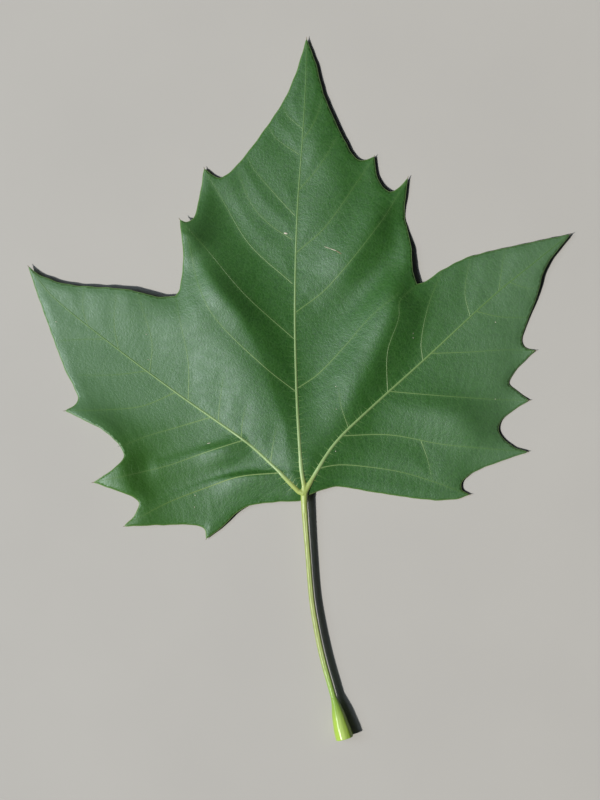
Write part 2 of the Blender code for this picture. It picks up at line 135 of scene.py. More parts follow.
# Side veins: the width where each leaves its main vein, and its path.
SIDE_VEINS = (
    # the midrib's left side
    (0.55, ((-3.2, 33.3), (-13.2, 41.2), (-29.8, 57.7), (-35.5, 69.7), (-38.2, 82.0), (-40.6, 89.0))),
    (0.52, ((-3.6, 50.7), (-19.8, 65.3), (-33.2, 81.2), (-41.0, 89.8))),
    (0.50, ((-4.0, 69.0), (-18.2, 82.0), (-26.9, 96.2), (-33.0, 106.6))),
    (0.30, ((-4.2, 83.7), (-11.5, 88.7), (-17.5, 95.3), (-22.0, 105.5))),
    (0.36, ((-3.2, 91.7), (-8.2, 97.0), (-16.5, 106.7), (-19.0, 111.0))),
    (0.30, ((-1.9, 112.0), (-9.0, 117.0), (-12.0, 121.0))),
    (0.24, ((-0.4, 120.3), (-5.7, 125.0), (-7.0, 128.0))),
    # its right side
    (0.52, ((-2.5, 34.1), (4.3, 38.7), (13.1, 47.8), (22.0, 58.0), (31.0, 65.5))),
    (0.52, ((-3.0, 59.4), (7.7, 67.8), (24.8, 88.7), (33.8, 103.2))),
    (0.38, ((-2.6, 79.4), (6.8, 87.7), (19.2, 105.3), (22.8, 110.4))),
    (0.30, ((-2.0, 100.0), (4.5, 107.5), (10.8, 117.5))),
    (0.26, ((-0.5, 117.0), (3.2, 122.5), (5.8, 130.0))),
    # the left main vein's lower side
    (0.60, ((-8.0, 6.2), (-21.5, 4.9), (-31.5, 1.6), (-46.5, -4.3), (-58.9, -11.1))),
    (0.58, ((-20.2, 17.0), (-33.2, 12.8), (-44.8, 8.7), (-53.2, 6.6), (-69.0, 3.2))),
    (0.48, ((-31.1, 24.6), (-43.2, 21.0), (-51.5, 18.6), (-60.2, 15.3), (-61.8, 15.0))),
    (0.42, ((-42.8, 32.9), (-54.0, 28.3), (-67.3, 27.0), (-78.6, 26.8))),
    (0.28, ((-52.2, 40.0), (-63.2, 38.7), (-75.0, 38.6))),
    (0.24, ((-66.5, 50.6), (-74.0, 50.5), (-81.8, 50.0))),
    # its upper side
    (0.30, ((-11.2, 9.4), (-10.6, 14.5), (-9.4, 21.0))),
    (0.30, ((-20.8, 17.5), (-20.7, 22.0), (-19.6, 28.0))),
    (0.34, ((-28.6, 23.0), (-28.2, 28.7), (-26.9, 38.0))),
    (0.42, ((-38.6, 30.0), (-38.6, 42.8), (-41.5, 57.8), (-42.5, 63.5))),
    (0.32, ((-51.5, 39.6), (-50.7, 49.5), (-54.0, 61.2), (-55.5, 66.0))),
    (0.26, ((-61.9, 47.4), (-63.2, 55.3), (-62.5, 66.0))),
    (0.22, ((-72.0, 55.1), (-73.6, 60.5), (-73.2, 67.6))),
    # the right main vein's lower side
    (0.46, ((4.6, 7.8), (11.8, 8.8), (21.8, 8.0), (32.7, 6.2), (44.5, 2.6), (53.8, -0.9))),
    (0.50, ((12.2, 18.5), (28.5, 18.7), (45.2, 15.7), (56.8, 14.5), (73.4, 13.1))),
    (0.28, ((38.8, 16.7), (41.0, 10.3), (42.4, 3.6))),
    (0.44, ((28.1, 33.2), (41.8, 32.0), (63.5, 30.5), (74.0, 30.2))),
    (0.34, ((42.1, 45.8), (55.2, 46.3), (66.8, 47.0), (76.2, 46.7))),
    (0.28, ((57.2, 59.8), (65.0, 58.0), (74.6, 57.7))),
    (0.22, ((68.0, 69.6), (73.5, 67.6), (78.0, 67.6))),
    # its upper side
    (0.28, ((14.6, 21.0), (12.2, 28.0), (11.2, 34.0))),
    (0.44, ((27.6, 32.7), (27.5, 46.2), (31.2, 57.5), (31.6, 63.0), (36.6, 68.0))),
    (0.40, ((39.4, 43.4), (38.8, 49.5), (41.0, 61.0), (45.4, 72.8))),
    (0.34, ((55.2, 57.9), (53.4, 66.0), (55.0, 77.4))),
    (0.26, ((64.6, 66.5), (65.6, 74.0), (66.6, 80.2))),
)
SIDE_VEIN_TIP = 0.30  # a side vein's width at its tip, as a share of its width at its start
SIDE_VEIN_PROUD = 0.07
SIDE_VEIN_FLARE = 0.35  # how much wider a side vein is where it leaves its main vein
SIDE_VEIN_FLARE_LENGTH = 1.6
SIDE_VEIN_PALENESS = (0.18, 0.68)  # far from the hub, and how much is added near it
SIDE_VEIN_PALE_REACH = 42.0
FINE_SIDES = 8  # of a side vein, and of the rim, the hard points and the flecks

# Ladder veins run from vein to vein across each panel, more or less square to the vein they leave.
LADDER_SPACING = 2.3
LADDER_SPREAD = (0.6, 1.4)  # the least and the most of a gap between two, as shares of the spacing
LADDER_ANGLE = (72, 92)  # degrees from the vein that it leaves
LADDER_CURVE = 0.03  # radians that it may turn at each step, all one way
LADDER_WANDER = 0.12  # and to and fro
LADDER_WIDTH = 0.16
LADDER_STEP = 0.8
LADDER_LONGEST = 15.0
LADDER_PROUD = 0.015
LADDER_MEETS = 0.5  # how near another vein a ladder vein counts as having reached it
LADDER_TAPER = 0.5  # how much of its width a ladder vein loses on its way
LADDER_PALENESS = (0.12, 0.78)  # of its start, as for the side veins
LADDER_PALE_REACH = 40.0
LADDER_SIDES = 4
TICK_LENGTH = 2.0  # of the thick pale start of a ladder vein
TICK_FLARE = 2.6
TICK_PROUD = 0.10

# The margin's pale rim, and the hard point in which each tooth ends.
RIM_RADIUS = 0.52 * BLADE_THICKNESS
RIM_PALENESS = 0.28
TIP_ROOT = 0.9  # how far a point reaches back into its tooth
TIP_REACH = (0.7, 1.1)  # and the shortest and longest reach past it
TIP_RADII = (0.10, 0.16, 0.04)  # at its root, where it leaves the tooth and at its end
TIP_PALENESS = (0.3, 0.25, 0.0)
TIP_CURL = 0.12  # how steeply a point turns up past its tooth
HUB_CORNER = 5.0  # the margin's corners within this distance of the hub are no teeth
SHORT_LIMB_POINTS = 7

# The stalk's centre line, each point with its height above the ground and its radius.
STALK = (
    (-0.1, -1.6, 1.10, 0.70), (-0.1, -4.0, 1.58, 1.02), (0.4, -11.2, 2.2, 0.98), (1.1, -19.7, 2.5, 0.93),
    (2.5, -36.3, 2.8, 0.92), (4.3, -47.2, 2.9, 0.98), (6.3, -56.3, 2.95, 1.00), (9.0, -65.9, 2.95, 1.00),
    (10.1, -69.8, 2.95, 1.04),
)
STALK_SIDES = 44
LIMB_STEP = 0.5  # between two rings of the stalk, or of the hub's arm
GROOVE_DEPTH = 0.16  # of the channel along the stalk's top, as a share of the stalk's radius
GROOVE_WIDTH = 0.42  # radians either side of its middle
GROOVE_FADE = 14.0  # the length over which it runs out towards the foot
RIDGES = 9  # fine ridges round the stalk
RIDGE_HEIGHT = 0.016
RIDGE_TWIST = 0.6  # how far the ridges wander round the stalk, in radians
RIDGE_TWIST_LENGTH = 9.0

# The foot: its centre line as above, then the hollow that sat over the bud.
FOOT = (
    (9.7, -68.4, 2.95, 1.00), (10.5, -71.1, 2.95, 1.52), (11.2, -73.9, 2.95, 2.12), (11.9, -76.7, 2.95, 2.48),
    (12.6, -79.3, 2.95, 2.80), (13.35, -81.9, 2.95, 2.93),
)
FOOT_SIDES = 72
FOOT_STEP = 0.35
LIP_ROUND = 0.22
LIP_RINGS = 8
MOUTH_RADIUS = 1.9
HOLLOW_DEPTH = 6.5
HOLLOW_RINGS = 13

# The hub: its arm under the stalk, in points across, along and up, then its heart, from which the other arms
# run out along the main veins as far as its reach.
HUB_ARM = ((-0.3, 3.6, 0.0), (-0.1, 0.2, 0.72), (-0.1, -3.0, 1.36), (0.1, -7.4, 1.96))
HUB_ARM_RADII = (0.90, 1.24, 0.94)  # at its start, 45% of the way along and at its end
HUB_HEART = (-0.15, -0.6, 1.2)
HUB_REACH = 13.0
HUB_SIDES = 20
HUB_VOXEL = 0.14
HUB_SOFTENING = 0.5
HUB_SOFTENING_ROUNDS = 14

# Folds that lift or lower the blade: points with the lift there, then the half width on the left and on the
# right of the path as it is walked.
FOLDS = {
    "left_shoulder": (
        ((-5.0, 9.0, 1.8), (-10.0, 26.0, 3.8), (-15.5, 42.0, 4.6), (-22.0, 56.0, 4.8), (-29.5, 66.0, 4.4),
         (-38.5, 77.0, 2.0)), 20.0, 10.0),
    "left_shoulder_crest": (((-21.5, 58.0, 0.6), (-29.5, 67.0, 0.6), (-38.0, 76.0, 0.4)), 4.0, 3.5),
    "left_upper_valley": (((-8.0, 72.0, 0.0), (-20.0, 84.0, -0.7), (-31.0, 97.0, -1.5)), 8.0, 10.0),
    "hub_rise": (((0.0, -3.0, 0.6), (-0.5, 8.0, 2.0)), 15.0, 15.0),
    "right_shoulder": (
        ((5.5, 12.0, 1.2), (13.0, 29.0, 4.1), (22.5, 46.0, 4.8), (30.0, 62.0, 5.3), (35.2, 75.0, 3.1)),
        10.5, 8.5),
    "right_edge": (((31.0, 66.0, 0.2), (35.0, 76.0, 0.8), (35.5, 84.0, 0.4)), 3.5, 6.0),
    "right_second_crest": (
        ((1.0, 64.0, 0.0), (7.0, 68.5, 0.8), (14.0, 75.5, 2.4), (21.0, 86.0, 2.6), (27.0, 97.0, 2.2)),
        6.5, 5.4),
    "right_valley": (
        ((3.0, 54.0, -0.2), (13.5, 60.0, -0.6), (22.5, 68.0, -1.2), (30.0, 78.0, -1.8), (33.5, 91.0, -2.4)),
        5.0, 4.5),
    "centre_ridge": (
        ((4.0, 72.0, 0.3), (8.0, 86.0, 1.5), (11.0, 102.0, 1.4), (8.0, 118.0, 1.8), (3.0, 136.0, 1.0)),
        12.0, 8.0),
    "left_first_pleat": (
        ((-6.0, 4.0, 0.8), (-19.0, 3.5, 2.8), (-31.5, 1.0, 1.0), (-42.0, -3.0, 0.8), (-52.0, -7.5, 1.2)),
        12.0, 3.0),
    "left_second_pleat": (
        ((-18.5, 16.5, 0.2), (-27.0, 13.5, 2.0), (-37.0, 11.0, 1.2), (-48.0, 7.7, 1.2)), 5.0, 3.0),
    "left_third_pleat": (((-44.8, 20.3, 0.2), (-56.0, 17.0, 1.0)), 6.0, 4.0),
    "right_pleat": (((22.5, 24.3, 0.6), (37.0, 27.0, 1.8), (51.0, 24.0, 2.6), (61.0, 18.0, 1.6)), 7.5, 8.5),
    "right_lower_pleat": (((18.5, 12.0, 0.3), (35.2, 8.7, 0.4), (48.5, 5.0, 0.6)), 6.0, 5.0),
}
# These lie along the margin, where the folds above die away and these do not.
MARGIN_FOLDS = {
    "left_upper_edge": (((-39.5, 85.3, 4.2), (-34.8, 97.0, 1.0), (-30.0, 104.0, 0.4)), 6.0, 7.0),
    "left_lobe_lift": (
        ((-90.8, 74.0, 0.6), (-74.8, 68.0, 1.6), (-58.2, 66.7, 2.4), (-44.8, 64.7, 1.6)), 16.0, 14.0),
    "left_lower_edge": (
        ((-79.0, 27.0, 1.6), (-65.0, 13.0, 4.8), (-60.0, 1.0, 4.4), (-57.0, -9.0, 2.0)), 8.0, 13.0),
    "right_lobe_lift": (((61.8, 63.7, 0.4), (75.2, 74.0, 1.0), (87.2, 84.7, 0.7)), 11.0, 14.0),
    "right_lower_edge": (
        ((83.0, 76.0, 0.0), (73.0, 50.0, -0.7), (70.0, 33.0, -0.8), (66.0, 20.0, -0.7), (53.0, 2.0, -0.2)),
        6.0, 6.0),
}
FOLD_STEP = 3.0
FOLD_BLEND = 3.0  # how far either side of a fold's line its two half widths pass into each other

# Flecks on the blade: both ends, the width, and how pale each is.
SPECKS = (
    ((-6.9, 85.9), (-5.6, 85.6), 0.70, 0.8),
    ((6.5, 81.3), (8.6, 80.5), 0.28, 0.55), ((8.4, 80.6), (10.6, 79.8), 0.34, 0.65),
    ((10.4, 79.9), (12.3, 78.7), 0.42, 0.10),
    ((10.2, 34.9), (10.5, 34.7), 0.34, 0.8), ((10.4, 27.4), (10.6, 27.2), 0.32, 0.8),
    ((10.2, 13.4), (10.5, 13.2), 0.32, 0.8), ((-32.4, 15.8), (-31.2, 16.1), 0.26, 0.7),
    ((-36.5, -1.3), (-36.2, -1.5), 0.34, 0.8), ((-36.7, -5.2), (-36.4, -5.4), 0.30, 0.7),
    ((-82.7, 56.4), (-82.4, 56.2), 0.36, 0.8), ((-52.7, 52.2), (-52.4, 52.0), 0.30, 0.7),
    ((-52.1, 43.8), (-51.8, 43.6), 0.30, 0.7), ((63.4, 56.3), (63.7, 56.1), 0.34, 0.8),
    ((63.4, 30.7), (63.6, 30.5), 0.32, 0.8),
    ((36.1, 52.6), (36.1, 52.3), 0.20, 0.5), ((36.0, 51.1), (36.2, 50.8), 0.30, 0.7),
)
SPECK_PROUD = 0.03
SPECK_SUNK = 0.45  # how much of its radius a fleck lies in the blade

# The picture: how much of the ground the camera takes in, and what lies in its middle.
VIEW_HEIGHT = 266.7
VIEW_CENTRE = (-1.5, 30.3)
CAMERA_HEIGHT = 0.75  # metres
SENSOR = 36.0

# The light: a low warm sun from the left and a cool soft light beside it, with a little from all round.
SUN_FROM = (-0.60, -0.24, 0.76)
SUN_STRENGTH = 4.3
SUN_COLOUR = (1.0, 0.97, 0.92)
SUN_ANGLE = 3  # degrees
SOFTBOX_FROM = (-0.68, -0.04, 0.73)
SOFTBOX_DISTANCE = 1.2  # metres
SOFTBOX_SIZE = 0.8
SOFTBOX_POWER = 4.8
SOFTBOX_COLOUR = (0.76, 0.89, 1.0)
FILL_COLOUR = (0.78, 0.87, 1.0)
FILL_STRENGTH = 0.025

# Colours, as linear red, green and blue.
BLADE_GREENS = ((0.009, 0.056, 0.004), (0.016, 0.077, 0.009))
BLADE_CLOUD = (0.032, 0.106, 0.010)
BLADE_GRAIN = (0.028, 0.114, 0.013)
BLADE_LEFT = (0.040, 0.128, 0.012)
# painted sheen: lighter, bluer greens on the left lobe above the hub and towards the right lobe
BLADE_LEFT_PAINTED_SHEEN = (0.092, 0.168, 0.108)
BLADE_RIGHT_PAINTED_SHEEN = (0.105, 0.185, 0.105)
BLADE_NET = (0.085, 0.190, 0.060)
BLADE_SEAM = (0.080, 0.175, 0.045)
BLADE_LADDER = (0.085, 0.185, 0.055)
BLADE_EDGE = (0.110, 0.200, 0.050)
BLADE_SHEEN = (0.74, 0.80, 0.90)
UNDER_GREENS = ((0.115, 0.205, 0.085), (0.165, 0.265, 0.115))
UNDER_NET = (0.26, 0.36, 0.17)
UNDER_SEAM = (0.28, 0.37, 0.16)
VEIN_PALES = ((0.215, 0.325, 0.120), (0.300, 0.425, 0.180))
VEIN_HUB = (0.320, 0.390, 0.095)
VEIN_SUNK = (0.040, 0.125, 0.024)
STALK_OLIVES = ((0.170, 0.240, 0.048), (0.300, 0.370, 0.090))
STALK_PATCH = (0.300, 0.340, 0.125)
# a painted highlight along the channel on the stalk's top
STALK_PAINTED_HIGHLIGHT = (0.400, 0.450, 0.195)
STALK_TO_FOOT = (0.200, 0.340, 0.056)
FOOT_LIMES = ((0.240, 0.390, 0.036), (0.350, 0.500, 0.068))
# a painted highlight on the foot's top
FOOT_PAINTED_HIGHLIGHT = (0.480, 0.560, 0.290)
FOOT_HOLLOW = (0.150, 0.150, 0.045)
FLECK_BROWN = (0.125, 0.095, 0.030)
FLECK_WHITES = ((0.50, 0.48, 0.40), (0.66, 0.64, 0.56))
FLOOR_GREYS = ((0.385, 0.375, 0.360), (0.425, 0.415, 0.395))

STREAK_STRETCH = 0.06  # the scale of a streak's pattern lengthways, as a share of its scale across


# Lines and distances.


def along(path, step):
    """A smooth line through the points of path, as numpy rows, with no side longer than step."""
    points = np.array(path, float)
    rows = [points[:1]]
    for i, (start, end) in enumerate(zip(points, points[1:])):
        before = points[max(i - 1, 0)]
        after = points[min(i + 2, len(points) - 1)]
        reach = np.linalg.norm((end - start)[:2])
        leave = (end - before) * (reach / np.linalg.norm((end - before)[:2]))
        arrive = (after - start) * (reach / np.linalg.norm((after - start)[:2]))
        t = np.linspace(0, 1, max(2, math.ceil(reach / step) + 1))[1:, None]
        rows.append(
            start * (1 + 2 * t) * (1 - t) ** 2
            + leave * t * (1 - t) ** 2
            + end * t * t * (3 - 2 * t)
            - arrive * t * t * (1 - t)
        )
    return np.vstack(rows)


def margin_line(margin, step):
    """The margin as plan points, closed: smooth between two sharp points, and sharp at each."""
    rows = [np.array(margin[0][:1], float)]
    for row, following in zip(margin, margin[1:] + margin[:1]):
        rows.append(along((*row, following[0]), step)[1:])
    return np.vstack(rows)


def headings(line):
    """The unit direction of travel at each point of a line."""
    run = np.gradient(line, axis=0)
    return run / np.linalg.norm(run, axis=1)[:, None]


def lengths(line):
    """The distance travelled from the line's start to each of its points."""
    return np.concatenate([[0], np.cumsum(np.linalg.norm(np.diff(line, axis=0), axis=1))])


def distance_to(points, path):
    """For each plan point: its distance to the path, how far left of it, and the path's value there."""
    nearest = np.full(len(points), np.inf)
    left = np.zeros(len(points))
    value = np.zeros(len(points))
    for start, end in zip(path[:-1], path[1:]):
        run = end[:2] - start[:2]
        away = points - start[:2]
        share = np.clip(away @ run / (run @ run), 0, 1)
        off = away - share[:, None] * run
        distance = np.hypot(off[:, 0], off[:, 1])
        closer = distance < nearest
        nearest[closer] = distance[closer]
        across = (run[0] * off[:, 1] - run[1] * off[:, 0]) / np.hypot(*run)
        left[closer] = across[closer]
        value[closer] = (start[-1] + share * (end[-1] - start[-1]))[closer]
    return nearest, left, value


def ripple(points, wavelength, seed, waves=7):
    """A smooth, patternless value from about -1 to 1 at each plan point."""
    rng = random.Random(seed)
    total = np.zeros(len(points))
    for _ in range(waves):
        angle = rng.uniform(0, math.tau)
        number = math.tau / (wavelength * rng.uniform(0.7, 1.5))
        wave = points @ (math.cos(angle) * number, math.sin(angle) * number)
        total += np.sin(wave + rng.uniform(0, math.tau))
    return total / math.sqrt(2 * waves)


def bell(distance, width):
    """1 at no distance, falling away smoothly over the width."""
    return np.exp(-((distance / width) ** 2))


def around(sides):
    """The angle of each side of a ring."""
    return np.arange(sides) * math.tau / sides


def tree_of(points):
    """A search tree of plan points."""
    tree = KDTree(len(points))
    for i, (x, y) in enumerate(points):
        tree.insert((x, y, 0), i)
    tree.balance()
    return tree


def nearest_in(tree, points):
    """The distance of each plan point to the nearest one in a search tree."""
    return np.array([tree.find((x, y, 0))[2] for x, y in points])


def inside(points, loop):
    """Whether each plan point is inside the loop, by counting the sides to the right of it."""
    crossings = np.zeros(len(points), int)
    for start, end in zip(loop, np.roll(loop, -1, axis=0)):
        spans = (start[1] > points[:, 1]) != (end[1] > points[:, 1])
        rise = end[1] - start[1]
        share = (points[:, 1] - start[1]) / (rise if rise else 1)
        crossings += spans & (points[:, 0] < start[0] + share * (end[0] - start[0]))
    return crossings % 2 == 1


# The veins' courses, and the height of the blade.


class Veins:
    """The lines of the main, side and ladder veins, and how far any plan point is from them."""

    def __init__(self, outline):
        self.main = {name: along(path, LADDER_STEP) for name, (path, *_) in MAIN_VEINS.items()}
        self.side = [along(path, LADDER_STEP) for _, path in SIDE_VEINS]
        self.carriers = [*self.main.values(), *self.side]
        self.tree = tree_of(np.vstack(self.carriers))
        self.edge = tree_of(outline)
        self.ladder_start = []  # how pale each ladder vein is where it leaves its vein
        self.ladder = self.grow_ladder()
        self.ladder_tree = tree_of(np.vstack(self.ladder))

    def grow_ladder(self):
        """Ladder veins: each leaves its vein nearly square and runs to the next vein or the margin."""
        rng = random.Random(SEED)
        taken = set()
        found = []
        for owner, line in enumerate(self.carriers):
            run = headings(line)
            travelled = lengths(line)
            for side in (-1, 1):
                place = rng.uniform(1.0, LADDER_SPACING)
                while place < travelled[-1] - LADDER_SPACING:
                    i = int(np.searchsorted(travelled, place))
                    place += LADDER_SPACING * rng.uniform(*LADDER_SPREAD)
                    turn = math.radians(rng.uniform(*LADDER_ANGLE))
                    angle = math.atan2(run[i][1], run[i][0]) + side * turn
                    rung = self.wander(line[i], angle, taken, rng)
                    if len(rung) > 2:
                        found.append(rung)
                        from_main = owner < len(self.main)
                        near_hub = from_main * math.exp(-math.hypot(*line[i]) / LADDER_PALE_REACH)
                        self.ladder_start.append(LADDER_PALENESS[0] + LADDER_PALENESS[1] * near_hub)
                        taken.update((round(x), round(y)) for x, y in rung)
        return found

    def wander(self, start, angle, taken, rng):
        """One ladder vein's points, up to where it meets a vein that is already there."""
        point = np.array(start)
        points = [point]
        swing = rng.uniform(-LADDER_CURVE, LADDER_CURVE)
        for _ in range(int(LADDER_LONGEST / LADDER_STEP)):
            angle += swing + rng.uniform(-LADDER_WANDER, LADDER_WANDER)
            point = point + LADDER_STEP * np.array((math.cos(angle), math.sin(angle)))
            if self.edge.find((*point, 0))[2] < LADDER_STEP:
                break
            points.append(point)
            if len(points) < 4:
                continue
            if self.tree.find((*point, 0))[2] < LADDER_MEETS or (round(point[0]), round(point[1])) in taken:
                break
        return np.array(points)


def folded(points, folds=FOLDS):
    """The lift that the folds give at each plan point."""
    lift_there = np.zeros(len(points))
    for path, left_width, right_width in folds.values():
        distance, left, lift = distance_to(points, along(path, FOLD_STEP))
        share = np.clip(left / FOLD_BLEND, -1, 1) / 2 + 0.5
        width = right_width + share * (left_width - right_width)
        lift_there += lift * bell(distance, width)
    return lift_there


def full_height(points, veins):
    """The blade's upper face: its folds, the swell of each panel and the cobbles between ladder veins."""
    from_vein = nearest_in(veins.tree, points)
    from_ladder = nearest_in(veins.ladder_tree, points)
    from_margin = nearest_in(veins.edge, points)
    away_from_hub = 1 - bell(np.hypot(points[:, 0], points[:, 1]), HUB_HOLD)
    calm = MARGIN_CALM * bell(from_margin, MARGIN_CALM_WIDTH) * away_from_hub
    at_margin = bell(from_margin, MARGIN_DROOP_WIDTH)
    panel = (1 - bell(from_vein, PANEL_WIDTH)) * (1 - at_margin)
    from_patch = np.hypot(points[:, 0] - FLAT_PATCH[0], points[:, 1] - FLAT_PATCH[1])
    panel *= 1 - FLAT_SHARE * bell(from_patch, FLAT_PATCH[2])
    cobble = 1 - bell(from_ladder, COBBLE_WIDTH)
    swell = PANEL_BULGE * panel + COBBLE_BULGE * cobble - MARGIN_DROOP * at_margin
    return BLADE_REST_HEIGHT + folded(points) * (1 - calm) + folded(points, MARGIN_FOLDS) + swell


# Making pieces.


def in_frame(points):
    """Points in leaf millimetres as points in the frame's metres."""
    shift = (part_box("left_lobe")[0].x - LEFTMOST * MM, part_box("centre_lobe")[1].y - TOPMOST * MM, 0)
    return np.asarray(points) * MM + shift


def new_piece(name, points, edges, faces, *materials):
    """A mesh object from points in leaf millimetres."""
    mesh = bpy.data.meshes.new(name)
    mesh.from_pydata(in_frame(points).tolist(), edges, faces)
    for material in materials:
        mesh.materials.append(material)
    if faces:
        mesh.shade_smooth()
    piece = bpy.data.objects.new(name, mesh)
    bpy.context.scene.collection.objects.link(piece)
    return piece


def give_values(piece, name, values):
    """Stores one number for each point of the piece."""
    attribute = piece.data.attributes.new(name, "FLOAT", "POINT")
    attribute.data.foreach_set("value", np.asarray(values, np.float32))


def settle(piece):
    """Turns a piece with live modifiers into a plain mesh."""
    graph = bpy.context.evaluated_depsgraph_get()
    mesh = bpy.data.meshes.new_from_object(piece.evaluated_get(graph))
    piece.modifiers.clear()
    piece.data = mesh
    return piece


def finish_piece(piece, slot, *nodes):
    """Gives the piece its body and hides the nodes that it takes the place of. The slot is not used."""
    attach(piece, "root")
    if nodes:
        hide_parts(*nodes)


def lattice(loop, pitch):
    """Points of a triangular lattice inside the loop and clear of it."""
    row_height = pitch * math.sqrt(3) / 2
    low, high = loop.min(axis=0), loop.max(axis=0)
    rows = []
    for k, y in enumerate(np.arange(low[1], high[1], row_height)):
        x = np.arange(low[0] + (k % 2) * pitch / 2, high[0], pitch)
        rows.append(np.column_stack([x, np.full(len(x), y)]))
    points = np.vstack(rows)
    points = points[inside(points, loop)]
    return points[nearest_in(tree_of(loop), points) > pitch * BLADE_CLEAR]


def leaf_outline():
    """The blade's margin as a closed loop of plan points, with the small unevenness of a real edge."""
    line = margin_line(MARGIN, MARGIN_STEP)[:-1]
    run = headings(line)
    across = np.column_stack([-run[:, 1], run[:, 0]])
    return line + across * (MARGIN_WAVER * ripple(line, MARGIN_WAVER_LENGTH, SEED))[:, None]


def build_blade(outline, veins, top, under):
    """The whole blade in one skin: its outline filled with triangles, folded and given its thickness."""
    plan = np.vstack([outline, lattice(outline, BLADE_PITCH)])
    loop = [list(range(len(outline)))]
    points, _, faces, *_ = delaunay_2d_cdt([Vector(p) for p in plan], [], loop, 1, MM)
    points = np.array([tuple(p) for p in points])
    raised = np.column_stack([points, full_height(points, veins)])
    blade = new_piece("leaf_blade", raised, [], faces, top, under)
    if blade.data.polygons[0].normal.z < 0:
        blade.data.flip_normals()
    give_values(blade, "from_vein", nearest_in(veins.tree, points))
    give_values(blade, "from_ladder", nearest_in(veins.ladder_tree, points))
    give_values(blade, "from_margin", nearest_in(veins.edge, points))
    shell = blade.modifiers.new("thickness", "SOLIDIFY")
    shell.thickness = BLADE_THICKNESS * MM
    shell.offset = -1
    shell.material_offset = 1
    return settle(blade)


# Limbs that follow a path, made by Geometry Nodes.


def add(tree, kind, inputs=None, **settings):
    """A node with its settings and its inputs: a socket is linked, and anything else is set."""
    node = tree.nodes.new(kind)
    for name, value in settings.items():
        setattr(node, name, value)
    for key, value in (inputs or {}).items():
        if isinstance(value, bpy.types.NodeSocket):
            tree.links.new(value, node.inputs[key])
        else:
            node.inputs[key].default_value = value
    return node


def limb_tree():
    """A node tree that turns lines with a radius at each point into closed tubes."""
    tree = bpy.data.node_groups.new("limb_along_path", "GeometryNodeTree")
    for label, kind in (("Geometry", "Geometry"), ("Sides", "Int"), ("Material", "Material")):
        tree.interface.new_socket(label, in_out="INPUT", socket_type="NodeSocket" + kind)
    tree.interface.new_socket("Geometry", in_out="OUTPUT", socket_type="NodeSocketGeometry")
    given = add(tree, "NodeGroupInput").outputs
    radius = add(tree, "GeometryNodeInputNamedAttribute", {"Name": "radius_mm"}, data_type="FLOAT")
    metres = add(tree, "ShaderNodeMath", {0: radius.outputs["Attribute"], 1: MM}, operation="MULTIPLY")
    lines = add(tree, "GeometryNodeMeshToCurve", {"Mesh": given["Geometry"]})
    ring = add(tree, "GeometryNodeCurvePrimitiveCircle", {"Resolution": given["Sides"], "Radius": 1})
    tube = add(tree, "GeometryNodeCurveToMesh", {
        "Curve": lines.outputs["Curve"], "Profile Curve": ring.outputs["Curve"],
        "Scale": metres.outputs["Value"], "Fill Caps": True,
    })
    smooth = add(tree, "GeometryNodeSetShadeSmooth", {"Geometry": tube.outputs["Mesh"]})
    real = add(tree, "GeometryNodeRealizeInstances", {"Geometry": smooth.outputs["Geometry"]})
    dressed = add(tree, "GeometryNodeSetMaterial", {
        "Geometry": real.outputs["Geometry"], "Material": given["Material"],
    })
    add(tree, "NodeGroupOutput", {"Geometry": dressed.outputs["Geometry"]})
    return tree


def build_limbs(name, tree, lines, radii, paleness, sides, material, closed=False):
    """Tubes along lines of points in leaf millimetres, with a radius and a paleness at each point."""
    points = np.vstack(lines)
    starts = np.cumsum([0] + [len(line) for line in lines[:-1]])
    edges = [(s + i, s + i + 1) for s, line in zip(starts, lines) for i in range(len(line) - 1)]
    if closed:
        edges.append((len(points) - 1, 0))
    piece = new_piece(name, points, edges, [])
    give_values(piece, "radius_mm", np.concatenate(radii))
    give_values(piece, "paleness", np.concatenate(paleness))
    maker = piece.modifiers.new("limbs", "NODES")
    maker.node_group = tree
    sockets = {item.name: item.identifier for item in tree.interface.items_tree if item.in_out == "INPUT"}
    maker[sockets["Sides"]] = sides
    maker[sockets["Material"]] = material
    return settle(piece)


def build_main_vein(name, tree, veins, material):
    """One of the three main veins, thinner, lower and greener towards its tip."""
    _, start_width, end_width = MAIN_VEINS[name]
    plan = veins.main[name]
    share = lengths(plan) / lengths(plan)[-1]
    radius = (start_width + (end_width - start_width) * share**VEIN_TAPER) / 2
    proud = VEIN_PROUD[0] + (VEIN_PROUD[1] - VEIN_PROUD[0]) * share**0.6
    line = np.column_stack([plan, full_height(plan, veins) + proud - radius])
    paleness = VEIN_TIP_PALENESS + (1 - VEIN_TIP_PALENESS) * (1 - share) ** 1.6
    return build_limbs(name, tree, [line], [radius], [paleness], VEIN_SIDES, material)


def build_side_veins(tree, veins, material):
    """The side veins, each with a flare where it leaves its main vein, and paler near the hub."""
    lines, radii, paleness = [], [], []
    for (width, _), plan in zip(SIDE_VEINS, veins.side):
        travelled = lengths(plan)
        share = travelled / travelled[-1]
        flare = SIDE_VEIN_FLARE * bell(travelled, SIDE_VEIN_FLARE_LENGTH)
        radius = width / 2 * (1 + (SIDE_VEIN_TIP - 1) * share + flare)
        height = full_height(plan, veins) + SIDE_VEIN_PROUD * (1 - 0.6 * share) - radius
        lines.append(np.column_stack([plan, height]))
        radii.append(radius)
        near_hub = np.exp(-np.hypot(plan[:, 0], plan[:, 1]) / SIDE_VEIN_PALE_REACH)
        pale = SIDE_VEIN_PALENESS[0] + SIDE_VEIN_PALENESS[1] * near_hub
        paleness.append(pale * (1 - share**2) + 0.03)
    return build_limbs("side_veins", tree, lines, radii, paleness, FINE_SIDES, material)


